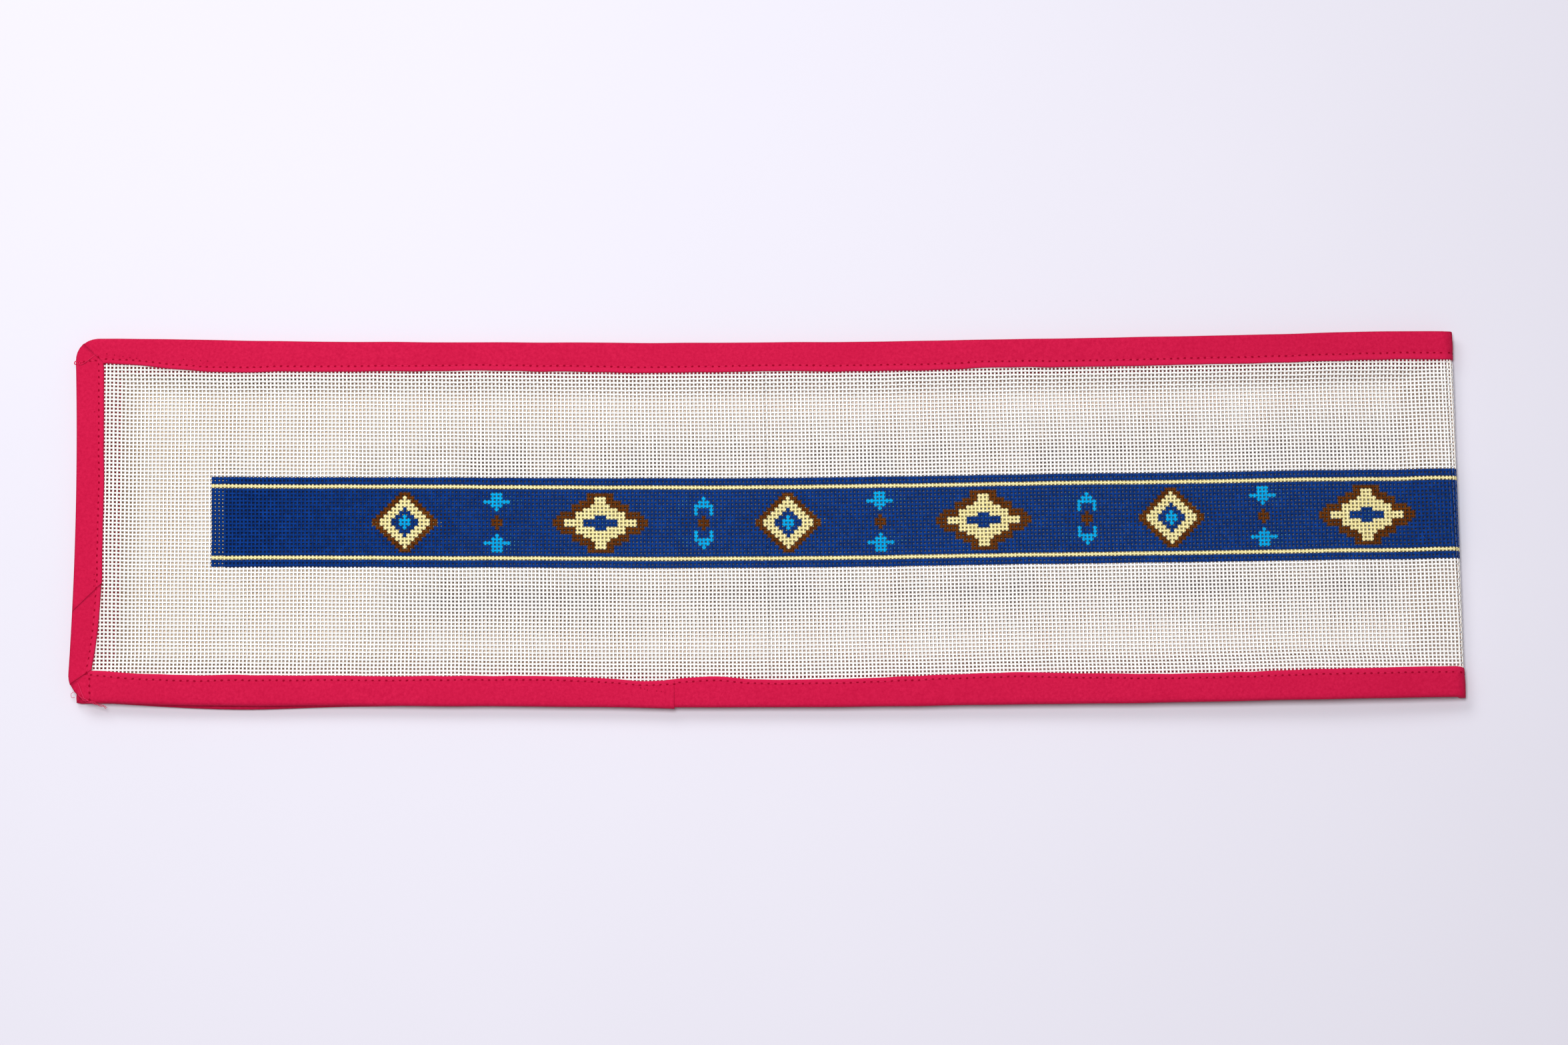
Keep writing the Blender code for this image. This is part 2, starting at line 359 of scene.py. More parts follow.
def mesh_piece(name, points, faces, finish):
    """A piece of points in millimetres and faces of three or four corners, given as arrays."""
    faces = [np.asarray(f, np.int32) for f in faces if len(f)]
    corners = np.concatenate([f.ravel() for f in faces])
    sizes = np.concatenate([np.full(len(f), f.shape[1], np.int32) for f in faces])
    mesh = bpy.data.meshes.new(name)
    mesh.vertices.add(len(points))
    mesh.vertices.foreach_set("co", (np.asarray(points) * METRES).astype(np.float32).ravel())
    mesh.loops.add(len(corners))
    mesh.loops.foreach_set("vertex_index", corners)
    mesh.polygons.add(len(sizes))
    starts = np.concatenate([[0], np.cumsum(sizes)[:-1]]).astype(np.int32)
    mesh.polygons.foreach_set("loop_start", starts)
    mesh.polygons.foreach_set("loop_total", sizes)
    mesh.update(calc_edges=True)
    mesh.materials.append(finish)
    mesh.shade_smooth()
    made = bpy.data.objects.new(name, mesh)
    bpy.context.scene.collection.objects.link(made)
    return made


def tube_faces(tubes, rings, sides, first=0):
    """Faces of tubes, each of so many rings of so many points, numbered tube by tube."""
    start = first + np.arange(tubes)[:, None, None] * rings * sides
    ring = start + np.arange(rings - 1)[None, :, None] * sides
    side = np.arange(sides)[None, None, :]
    after = (side + 1) % sides
    next_ring = ring + sides
    quads = np.stack([ring + side, next_ring + side, next_ring + after, ring + after], axis=-1)
    return quads.reshape(-1, 4)


def end_faces(tubes, rings, first=0):
    """The two end triangles of tubes with three sides."""
    start = first + np.arange(tubes)[:, None] * rings * 3
    last = start + (rings - 1) * 3
    return np.concatenate([start + np.array([0, 1, 2]), last + np.array([2, 1, 0])])


# The chart. Motifs are told thread by thread: across is the column's distance from the motif's
# middle thread, and away the row's from the band's middle line, 0 for the threads beside it.
NAVY, CREAM, SKY, BROWN = 0, 1, 2, 3
BAND_HALF_ROWS = 12
LINE_ROW = 9
BAND_COLUMNS = 649
REPEAT = 100
DIAMOND_AT, CROSSES_AT, MEDALLION_AT, BRACKETS_AT = 50, 74, 101, 128
LAST_MOTIF = 610
DOT_SIZE = 1
DIAMOND_LEVELS = ((8, BROWN), (6, CREAM), (3, NAVY), (1, SKY))
DIAMOND_ROWS = 8
# Half the width of each motif's shapes, row by row away from the middle line
CROSS_WIDTHS = {3: 0, 4: 1, 5: 3, 6: 1, 7: 1}
BRACKET_WIDTHS = {4: 2, 5: 1, 6: 0}
BRACKET_POSTS = (2, 3)
BRACKET_POST_ACROSS = 2
MEDALLION_WIDTHS = (
    (BROWN, (12, 11, 10, 7, 7, 5, 3, 3)),
    (CREAM, (9, 6, 6, 4, 2, 1, 1)),
    (NAVY, (4, 1)),
)


def chart():
    """The colour of each painted thread crossing, by column and by row from the near edge up."""
    colours = np.full((BAND_COLUMNS, 2 * BAND_HALF_ROWS), NAVY)
    rows = np.arange(2 * BAND_HALF_ROWS)
    away = np.where(rows < BAND_HALF_ROWS, BAND_HALF_ROWS - 1 - rows, rows - BAND_HALF_ROWS)
    colours[:, away == LINE_ROW] = CREAM

    def paint(column, row_away, colour):
        if 0 <= column < BAND_COLUMNS:
            colours[column, away == row_away] = colour

    def dot(middle):
        for across in range(-DOT_SIZE, DOT_SIZE + 1):
            for row in range(DOT_SIZE - abs(across) + 1):
                paint(middle + across, row, BROWN)

    def bars(middle, widths, colour):
        for row, half in widths:
            for across in range(-half, half + 1):
                paint(middle + across, row, colour)

    def diamond(middle):
        for level, colour in DIAMOND_LEVELS:
            rows_used = range(min(level + 1, DIAMOND_ROWS))
            bars(middle, [(row, level - row) for row in rows_used], colour)

    def crosses(middle):
        dot(middle)
        bars(middle, CROSS_WIDTHS.items(), SKY)

    def medallion(middle):
        for colour, widths in MEDALLION_WIDTHS:
            bars(middle, enumerate(widths), colour)

    def brackets(middle):
        dot(middle)
        bars(middle, BRACKET_WIDTHS.items(), SKY)
        for row in BRACKET_POSTS:
            paint(middle - BRACKET_POST_ACROSS, row, SKY)
            paint(middle + BRACKET_POST_ACROSS, row, SKY)

    motifs = (
        (DIAMOND_AT, diamond),
        (CROSSES_AT, crosses),
        (MEDALLION_AT, medallion),
        (BRACKETS_AT, brackets),
    )
    for first, motif in motifs:
        for middle in range(first, LAST_MOTIF, REPEAT):
            motif(middle)
    return colours


def counted(length):
    """The s of a place so far along the canvas itself, which is longer round the fold."""
    past = np.maximum(length - FOLD_START, 0.0)
    return length - (1 - 1 / FOLD_STRETCH) * np.minimum(past, FOLD_LENGTH * FOLD_STRETCH)


def crossings():
    """The crossings' places (column, row) and one-hot paint, for the whole strip of canvas."""
    columns = np.arange(FIRST_COLUMN, LAST_COLUMN + 1)
    rows = np.arange(2 * ROWS_EACH_WAY)
    draw = np.random.default_rng(18)
    shape = (len(columns), len(rows))
    s_plain = counted(BAND_START + PITCH * (columns + 0.5)[:, None])
    x = section_x(s_plain)
    shift = -0.5 * lowered(s_plain) * (LOWER_FAR_INSIDE + eased(x, SECTIONS, "lower_out"))
    y = eased(x, BOWS, "middle") + shift + ROW_PITCH * (rows - ROWS_EACH_WAY + 0.5)[None, :]
    y = y + wobble(s_plain, ROWS_WANDER, 5) * np.cos(rows / 9.0)[None, :]
    s = s_plain + LEAN * y + wobble(y, COLUMNS_WANDER, 6) * np.cos(columns / 14.0)[:, None]
    s = s + draw.normal(0.0, STRAY, shape)
    y = y + draw.normal(0.0, STRAY, shape)
    paint = np.zeros((*shape, 4))
    first_row = ROWS_EACH_WAY - BAND_HALF_ROWS
    colours = chart()
    band_columns = slice(-FIRST_COLUMN, -FIRST_COLUMN + BAND_COLUMNS)
    band_rows = slice(first_row, first_row + 2 * BAND_HALF_ROWS)
    paint[band_columns, band_rows] = np.eye(4)[colours]
    return columns, s, y, paint


def canvas_out(s, y):
    """How far the canvas stands off the plain middle of the cloth: small waves, the fold's bulge,
    and the bow of each half towards the other between the tapes."""
    from_far = edge_y(s, FAR) - y
    from_near = y - edge_y(s, NEAR)
    from_edge = np.minimum(from_far, from_near)
    inside = np.clip((from_edge - BULGE_FROM_EDGE) / BULGE_GROWS, 0.0, 1.0)
    bulge = BULGE * np.sin(np.pi * lowered(s)) * inside
    waves = wobble(s + 0.4 * y, CANVAS_WAVE, 3) + wobble(s - 0.7 * y, CANVAS_RIPPLE, 4)
    lower = (s > FOLD_START + FOLD_LENGTH / 2) * 1.0
    from_end = section_x(s) - free_end(y, lower)
    from_tapes = np.minimum(from_far - hidden_reach(s, FAR), from_near - hidden_reach(s, NEAR))
    from_tapes = np.minimum(from_tapes, from_end - hidden_end_reach(y, lower))
    from_fold = FOLD_START - np.minimum(s, THERE_AND_BACK - s)
    by_fold = (from_fold - BOW_FROM_FOLD) / BOW_GROWS_FROM_FOLD
    bowed = np.clip(np.minimum(from_tapes / BOW_GROWS, by_fold), 0.0, 1.0)
    bowed = bowed**2 * (3 - 2 * bowed)
    upper = upper_height(np.minimum(s, FOLD_START), y) - LAYERS_MEET
    to_meet = np.where(s < FOLD_START, upper, LAYERS_MEET - LOWER_MIDDLE)
    bow = (to_meet - LAYERS_APART / 2) * bowed
    return bulge - bow + waves * inside * (1 - np.sin(np.pi * lowered(s)))


# The second of a thread's three sides is its flat under side
UNDER_SIDE = 1


def tube_rings(centre, up, side, width):
    """The three points round each crossing of a thread: its top, and its two lower corners."""
    top = centre + up * THREAD_TOP
    left = centre - up * THREAD_BOTTOM + side * (width / 2)[..., None]
    right = centre - up * THREAD_BOTTOM - side * (width / 2)[..., None]
    return np.stack([top, left, right], axis=-2)


def canvas_pieces(finish):
    """The woven canvas, cut along the belt into pieces of equal length."""
    columns, s, y, paint = crossings()
    rows = s.shape[1]
    base = canvas_out(s, y)
    middle = on_cloth(s, y, base)
    up = on_cloth(s, y, base + 1.0) - middle
    run = np.gradient(middle, axis=0)
    run /= np.linalg.norm(run, axis=-1, keepdims=True)
    across = np.cross(up, run)
    painted = paint.sum(axis=-1)
    draw = np.random.default_rng(7)
    width = THREAD_WIDTH + (PAINTED_WIDTH - THREAD_WIDTH) * painted
    column_width = width * draw.normal(1.0, WIDTH_BY_THREAD, (len(columns), 1))
    column_width = column_width * draw.normal(1.0, WIDTH_BY_CROSSING, s.shape)
    row_width = width * draw.normal(1.0, WIDTH_BY_THREAD, (1, rows))
    row_width = row_width * draw.normal(1.0, WIDTH_BY_CROSSING, s.shape)
    over = np.where((columns[:, None] + np.arange(rows)[None, :]) % 2 == 0, 1.0, -1.0)
    lift = up * (CRIMP * over)[..., None]
    long_rings = tube_rings(middle + lift, up, across, row_width)
    cross_rings = tube_rings(middle - lift, up, -run, column_width)
    cuts = np.linspace(0, len(columns) - 1, len(PIECES_OF_CANVAS) + 1).round().astype(int)
    pieces = []
    for name, start, end in zip(PIECES_OF_CANVAS, cuts, cuts[1:]):
        last_cross = end + 1 if end == len(columns) - 1 else end
        longs = long_rings[start:end + 1].transpose(1, 0, 2, 3)
        crosses = cross_rings[start:last_cross]
        points = np.concatenate([longs.reshape(-1, 3), crosses.reshape(-1, 3)])
        before = longs.size // 3
        faces = [
            tube_faces(rows, end + 1 - start, 3),
            tube_faces(last_cross - start, rows, 3, before),
            end_faces(rows, end + 1 - start),
            end_faces(last_cross - start, rows, before),
        ]
        piece = mesh_piece(name, points, faces, finish)
        smooth = np.ones(len(piece.data.polygons), bool)
        smooth[UNDER_SIDE:len(faces[0]) + len(faces[1]):3] = False
        piece.data.polygons.foreach_set("use_smooth", smooth)
        long_paint = paint[start:end + 1].transpose(1, 0, 2).reshape(-1, 4)
        both = np.concatenate([long_paint, paint[start:last_cross].reshape(-1, 4)])
        layer = piece.data.attributes.new("paint", "FLOAT_COLOR", "POINT")
        layer.data.foreach_set("color", np.repeat(both, 3, axis=0).astype(np.float32).ravel())
        front = piece.data.attributes.new("front", "FLOAT", "POINT")
        front.data.foreach_set("value", np.tile([1.0, 0.0, 0.0], len(both)).astype(np.float32))
        piece["flat_length"] = PITCH * (end - start)
        pieces.append(piece)
    return pieces


def rounding(distance, radius):
    """How far the edge is drawn in at this distance from a corner of that radius."""
    short = np.maximum(radius - distance, 0.0)
    return radius - np.sqrt(np.maximum(radius * radius - short * short, 0.0))


def rounded(inwards, distance, radius):
    """Where a point of the tape's section lies near a corner: its outer part gives way most."""
    share = np.maximum(1 - inwards / (GIVES_WAY * radius), 0.0)
    return inwards + rounding(distance, radius) * share


def on_crease(inwards, corner, across_end):
    """How far along its tape from the corner each point of a section meets the corner's crease."""
    low, high = np.full_like(inwards, CREASE_LOW), np.full_like(inwards, CREASE_HIGH)
    for _ in range(CREASE_ROUNDS):
        middle = (low + high) / 2
        here = rounded(inwards, np.maximum(middle, 0), corner.radius)
        if across_end:
            past = middle > corner.start + corner.slope * here
        else:
            past = corner.start + corner.slope * middle > here
        low, high = np.where(past, low, middle), np.where(past, middle, high)
    return middle


# Where a tape stops: its place along the tape, its corner and whether it runs across the end there,
# or the rise of a slanted join, with how thick it is there and how far its outer edge stands out
Stop = namedtuple(
    "Stop",
    "place corner across_end rise height drop",
    defaults=(None, ALONG_BELT, 0.0, 1.0, 0.0),
)
HEIGHT_FADES = 5.0
DROP_FADES = 22.0
# The lap join: the end that is hidden under the other, how thick the two are, and the upper one's
# outer edge
LAP_HIDDEN = 3.0
LAP_UNDER = 0.86
LAP_OVER = 1.10
LAP_DROP = 0.5


# How far in from the outer edge the tape's leaves are flat, and the slot for the cloth starts
FLAT_FROM = 2.4
SLOT_FROM = 1.2
# The turned edge's points, as angles round it
EDGE_TURNS = np.radians([78.0, 55.0, 28.0, 0.0, -28.0, -55.0, -78.0])


def tape_section(reach, hidden, stitch_in, dip):
    """The tape's section at each ring, round it from the inner edge of the leaf that shows: how far
    in from the outer edge and how far out from the cloth's middle each point is."""
    top = SLOT_HALF + LEAF
    one = np.ones_like(reach)
    upper_leaf = [
        (reach, SLOT_HALF + 0.36 * one),
        (reach - 0.10, SLOT_HALF + 0.78 * one),
        (reach - 0.42, top - 0.05 - 0.2 * dip),
        (reach - 0.6 * stitch_in, top - 0.3 * dip),
        (reach - stitch_in, top - 0.08 - dip),
        (reach - stitch_in - 0.9, top - 0.2 * dip),
        (reach * 0.5, top + 0.05 * one),
        (FLAT_FROM * one, top * one),
    ]
    outer = [
        (EDGE_ROUND * (1 - math.cos(turn)) * one, (top - 0.03) * math.sin(turn) * one)
        for turn in EDGE_TURNS
    ]
    lower_leaf = [
        (FLAT_FROM * one, -top * one),
        (hidden * 0.5, -top * one),
        (hidden - stitch_in, 0.1 - top * one),
        (hidden - 0.4, 0.1 - top * one),
        (hidden, -SLOT_HALF - 0.3 * one),
    ]
    slot = [
        (hidden, -SLOT_HALF * one),
        (SLOT_FROM * one, -SLOT_HALF * one),
        (SLOT_FROM * one, SLOT_HALF * one),
        (reach, SLOT_HALF * one),
    ]
    points = np.array([*upper_leaf, *outer, *lower_leaf, *slot])
    return points[:, 0].T, points[:, 1].T


# The section's point that the stitches lie at, and the points of its lip
GROOVE = 4
LIP_POINTS = (0, 1, 2, 3)


class Run:
    """A run of tape: rings of its section, with the stitch holes at every other ring."""

    def __init__(self, start, end, reach, hidden, stitch_in, seed):
        stops = ((start, 1), (end, -1))
        at_stitches = []
        for stop, way in stops:
            here = np.array([stop.place])
            inwards, _ = tape_section(reach(here), hidden(here), stitch_in(here), np.zeros(1))
            at_stitches.append(float(self.offset(stop, way, inwards)[0, GROOVE]))
        first, last = start.place + at_stitches[0], end.place + at_stitches[1]
        count = 2 * max(round((last - first) / STITCH), 2) + 1
        self.base = np.linspace(first, last, count)
        dips = np.where(np.arange(count) % 2 == 0, STITCH_DIP, DIP_BETWEEN)
        reach_here = reach(self.base) + wobble(self.base, TAPE_REACH_WAVE, seed)
        hidden_here = hidden(self.base) + wobble(self.base, TAPE_HIDDEN_WAVE, seed + 1)
        self.inwards, self.out = tape_section(reach_here, hidden_here, stitch_in(self.base), dips)
        puffs = self.inwards < reach_here[:, None] - PUFF_FROM_LIP
        puff = wobble(self.base, TAPE_PUFF, seed + 2)[:, None] * puffs
        self.out = self.out + np.sign(self.out) * puff
        near_start = np.clip(1 - (self.base - first) / HEIGHT_FADES, 0, 1)
        near_end = np.clip(1 - (last - self.base) / HEIGHT_FADES, 0, 1)
        height = 1 + (start.height - 1) * near_start + (end.height - 1) * near_end
        self.out = self.out * height[:, None]
        self.along = np.repeat(self.base[:, None], self.inwards.shape[1], axis=1)
        self.drop = np.zeros_like(self.base)
        for (stop, way), at_stitch, edge in zip(stops, at_stitches, (first, last)):
            from_stop = way * (self.base - edge)
            fade = np.clip(1 - from_stop / SLANT_FADES, 0, 1)[:, None]
            self.along = self.along + (self.offset(stop, way, self.inwards) - at_stitch) * fade
            self.drop = self.drop + stop.drop * np.clip(1 - from_stop / DROP_FADES, 0, 1) ** 2
        self.plain_inwards = self.inwards
        for stop, way in stops:
            if stop.corner:
                distance = np.maximum(way * (self.along - stop.place), 0)
                self.inwards = rounded(self.inwards, distance, stop.corner.radius)

    def offset(self, stop, way, inwards):
        """How far past the stop's place each point of a ring at the stop lies."""
        if stop.corner:
            return way * (on_crease(inwards, stop.corner, stop.across_end) + MITRE_GAP)
        return stop.rise * inwards


def long_run(near, start, end, seed):
    """The points of a tape along a long edge, with what is needed to stitch and to colour it."""

    def stitch_in(s):
        return eased(section_x(s), STITCH_INS, "near" if near else "far")

    reaches = partial(shown_reach, near=near), partial(hidden_reach, near=near)
    run = Run(start, end, *reaches, stitch_in, seed)
    inward = 1 if near else -1
    shift = wobble(run.base, TAPE_EDGE_WAVE, seed + 3)[:, None]
    turned = np.sin(np.pi * lowered(run.along))
    squared = np.where(run.inwards < EDGE_ROUND, FOLD_SQUARES * turned * run.inwards, 0.0)
    stands_out = EDGE_STANDS_OUT + run.drop[:, None] + squared + FOLD_CORNER * turned**2
    y = edge_y(run.along, near) + shift + inward * (run.inwards - stands_out)
    return run, run.along, y


def end_run(lower, start, end, seed):
    """The same for a tape across a free end."""

    def stitch_in(y):
        return np.full_like(y, END_STITCH_IN)

    reaches = partial(end_reach, lower=lower), partial(hidden_end_reach, lower=lower)
    run = Run(start, end, *reaches, stitch_in, seed)
    x = free_end(run.along, lower) + run.inwards - EDGE_STANDS_OUT - END_STANDS_OUT
    return run, along(x, lower), run.along


def solid_of(rings):
    """Points and faces of one closed run through its rings, facing outwards."""
    count, sides = rings.shape[:2]
    points = rings.reshape(-1, 3)
    quads = tube_faces(1, count, sides)
    first = np.arange(sides)
    fans = [np.array([[0, i + 1, i] for i in range(1, sides - 1)])]
    last = (count - 1) * sides + first
    fans.append(np.array([[last[0], last[i], last[i + 1]] for i in range(1, sides - 1)]))
    triangles = np.concatenate(fans)
    a, b, c = (points[quads[:, i]] for i in (0, 1, 2))
    d = points[quads[:, 3]]
    volume = np.einsum("ij,ij->", a, np.cross(b, c)) + np.einsum("ij,ij->", a, np.cross(c, d))
    if volume < 0:
        quads, triangles = quads[:, ::-1], triangles[:, ::-1]
    return points, quads, triangles


def tape_piece(name, runs, finish):
    """One piece from its runs, with each point's place on the tape for the finish."""
    points, quads, triangles, places, before = [], [], [], [], 0
    for run, s, y in runs:
        rings = on_cloth(s, y, run.out)
        found, four, three = solid_of(rings)
        points.append(found)
        quads.append(four + before)
        triangles.append(three + before)
        # Marks the lip's points, where the finish paints a highlight
        lip = np.zeros_like(run.out)
        lip[:, LIP_POINTS] = 1.0
        places.append(np.stack([run.along, run.plain_inwards, lip], axis=-1).reshape(-1, 3))
        before += len(found)
    faces = [np.concatenate(quads), np.concatenate(triangles)]
    piece = mesh_piece(name, np.concatenate(points), faces, finish)
    place = piece.data.attributes.new("place", "FLOAT_VECTOR", "POINT")
    place.data.foreach_set("vector", np.concatenate(places).astype(np.float32).ravel())
    return piece


def corner_stop(near, lower, across_end, height=1.0):
    """Where a tape stops at a corner of a free end: a y if it runs across the end, or else an s."""
    corner = LOWER_CORNER
    if not lower:
        corner = UPPER_NEAR_CORNER if near else UPPER_FAR_CORNER
    outwards = -1.0 if near else 1.0
    y = float(edge_y(along(-HALF_LENGTH, lower), near))
    if across_end:
        place = y + outwards * EDGE_STANDS_OUT
    else:
        x = float(free_end(y - outwards * (corner.start + corner.radius / 2), lower))
        place = along(x - EDGE_STANDS_OUT - END_STANDS_OUT, lower)
    return Stop(place, corner, across_end, height=height)


def tape_runs():
    """The runs of tape of each piece."""
    join_outer = Stop(SLANT_JOIN_OUTER, rise=SLANT_JOIN_RISE, height=1.12)
    join_inner = Stop(SLANT_JOIN_OUTER + JOIN_GAP, rise=SLANT_JOIN_RISE)
    lap_over = Stop(NEAR_JOIN_X, height=LAP_OVER, drop=LAP_DROP)
    lap_under = Stop(NEAR_JOIN_X - LAP_HIDDEN, height=LAP_UNDER)
    return {
        "tape_far": [
            long_run(
                FAR,
                corner_stop(FAR, UPPER, ALONG_BELT, 0.94),
                corner_stop(FAR, LOWER, ALONG_BELT),
                100,
            ),
        ],
        "tape_near": [
            long_run(NEAR, lap_under, corner_stop(NEAR, LOWER, ALONG_BELT), 200),
        ],
        "tape_near_left": [
            long_run(NEAR, corner_stop(NEAR, UPPER, ALONG_BELT, 0.92), lap_over, 300),
        ],
        "tape_end_upper": [
            end_run(UPPER, corner_stop(NEAR, UPPER, ACROSS_END, 1.16), join_outer, 400),
            end_run(UPPER, join_inner, corner_stop(FAR, UPPER, ACROSS_END, 1.10), 500),
        ],
        "tape_end_lower": [
            end_run(
                LOWER,
                corner_stop(NEAR, LOWER, ACROSS_END, 1.04),
                corner_stop(FAR, LOWER, ACROSS_END, 1.04),
                600,
            ),
        ],
    }


# Stitches: rings along each, as shares of its length, with their lift and radius
StitchRing = namedtuple("StitchRing", "share lift radius")
STITCH_RINGS = rows_of(StitchRing, (
    (0.06, -0.08, 0.08),
    (0.26, 0.06, 0.14),
    (0.50, 0.10, 0.16),
    (0.74, 0.06, 0.14),
    (0.94, -0.08, 0.08),
))
STITCH_SIDES = 5
HOLE_SIDES = 7
HOLE_RADIUS = 0.40
HOLE_LONGER = 1.5
HOLE_LIFT = 0.10
HOLE_MIDDLE_LIFT = 0.04
PRICK_RADIUS = 0.17
CORNER_LINE_LIFT = 0.03
PRICK_LIFT = 0.02

# Lines of stitches that cross a corner of the upper half, as x and y of their ends
CornerLine = namedtuple("CornerLine", "x0 y0 x1 y1")
CORNER_LINES = (
    CornerLine(-247.4, -57.5, -247.2, -65.2),
    CornerLine(-251.0, -55.4, -248.6, -55.5),
    CornerLine(-254.4, 60.4, -248.0, 61.0),
)
# Pin pricks beside the stitches of the upper half, drawn as small dark discs of painted shade
PRICKS = (
    (-244.0, 63.6), (-241.2, 63.1), (-238.0, 62.5), (-235.4, 62.1), (-233.0, 61.8),
    (-215.5, 61.3), (-212.4, 61.1), (-209.3, 60.8), (-206.6, 60.6), (-200.2, 60.2),
    (-248.0, 41.7), (-246.6, -18.9), (-246.5, -21.0), (-246.6, -23.3),
    (-46.1, -62.0), (-44.6, -62.5), (-43.6, -62.9), (-40.3, -63.3), (-38.5, -63.5), (-37.1, -63.8),
)
TAPE_TOP = SLOT_HALF + LEAF


def hole_points(run, s, y):
    """The stitch holes along a run, and the way out of the tape at each."""
    at = s[::2, GROOVE], y[::2, GROOVE]
    out = run.out[::2, GROOVE]
    points = on_cloth(*at, out)
    return points, on_cloth(*at, out + 1.0) - points


def circle(side, up, angles):
    """The ways out to the points of a ring of radius 1 round each place."""
    cosines, sines = np.cos(angles)[None, :, None], np.sin(angles)[None, :, None]
    return side[:, None] * cosines + up[:, None] * sines


def stitch_rings(starts, ends, ups):
    """The rings of each stitch from a hole to the next."""
    run = ends - starts
    side = np.cross(ups, run)
    side /= np.linalg.norm(side, axis=-1, keepdims=True)
    angles = 2 * np.pi * np.arange(STITCH_SIDES) / STITCH_SIDES
    rings = []
    for ring in STITCH_RINGS:
        centre = starts + run * ring.share + ups * ring.lift
        rings.append(centre[:, None] + ring.radius * circle(side, ups, angles))
    return np.stack(rings, axis=1)


def hole_rings(points, ups, seams, radius, seed):
    """An uneven dark disc of painted shade for each needle hole, longer along the seam."""
    draw = np.random.default_rng(seed)
    count = len(points)
    across = np.cross(ups, seams)
    across /= np.linalg.norm(across, axis=-1, keepdims=True)
    lengthwise = HOLE_LONGER * np.cross(across, ups)
    angles = 2 * np.pi * np.arange(HOLE_SIDES) / HOLE_SIDES
    sizes = radius * draw.uniform(0.65, 1.15, (count, HOLE_SIDES))
    rim = (
        points[:, None]
        + ups[:, None] * HOLE_LIFT
        + (sizes * np.cos(angles))[..., None] * lengthwise[:, None]
        + (sizes * np.sin(angles))[..., None] * across[:, None]
    )
    middle = (points + ups * HOLE_MIDDLE_LIFT)[:, None]
    return np.concatenate([middle, rim], axis=1)


def hole_faces(count):
    """Fans of triangles for so many holes."""
    first = np.arange(count)[:, None, None] * (HOLE_SIDES + 1)
    rim = np.arange(HOLE_SIDES)
    fan = np.stack([np.zeros_like(rim), rim + 1, (rim + 1) % HOLE_SIDES + 1], axis=-1)
    return (first + fan[None]).reshape(-1, 3)


def sewing(runs_by_piece, thread_finish, hole_shade_finish):
    """All stitches as one piece, and the painted shade of all needle holes and pin pricks as another.
    """
    stitches, holes, hole_ups, seams = [], [], [], []

    def sew(points, ups):
        stitches.append(stitch_rings(points[:-1], points[1:], ups[:-1]))
        holes.append(points)
        hole_ups.append(ups)
        seams.append(np.gradient(points, axis=0))

    for runs in runs_by_piece.values():
        for run, s, y in runs:
            sew(*hole_points(run, s, y))
    for line in CORNER_LINES:
        long = math.hypot(line.x1 - line.x0, line.y1 - line.y0)
        count = max(round(long / STITCH), 1) + 1
        x, y = np.linspace(line.x0, line.x1, count), np.linspace(line.y0, line.y1, count)
        points = on_cloth(x, y, TAPE_TOP + CORNER_LINE_LIFT)
        sew(points, np.tile([0.0, 0.0, 1.0], (count, 1)))
    rings = np.concatenate(stitches)
    count = len(STITCH_RINGS)
    faces = tube_faces(len(rings), count, STITCH_SIDES)
    thread = mesh_piece("stitches", rings.reshape(-1, 3), [faces], thread_finish)
    points, ups = np.concatenate(holes), np.concatenate(hole_ups)
    needle = hole_rings(points, ups, np.concatenate(seams), HOLE_RADIUS, 31)
    pricks = np.array(PRICKS)
    prick_points = on_cloth(pricks[:, 0], pricks[:, 1], TAPE_TOP + PRICK_LIFT)
    upright = np.tile([0.0, 0.0, 1.0], (len(pricks), 1))
    sideways = np.tile([1.0, 0.0, 0.0], (len(pricks), 1))
    small = hole_rings(prick_points, upright, sideways, PRICK_RADIUS, 32)
    # A dark disc of painted shade at each needle hole and pin prick
    shade_discs = np.concatenate([needle, small])
    dark = mesh_piece("painted_hole_shades", shade_discs.reshape(-1, 3), [hole_faces(len(shade_discs))], hole_shade_finish)
    return thread, dark


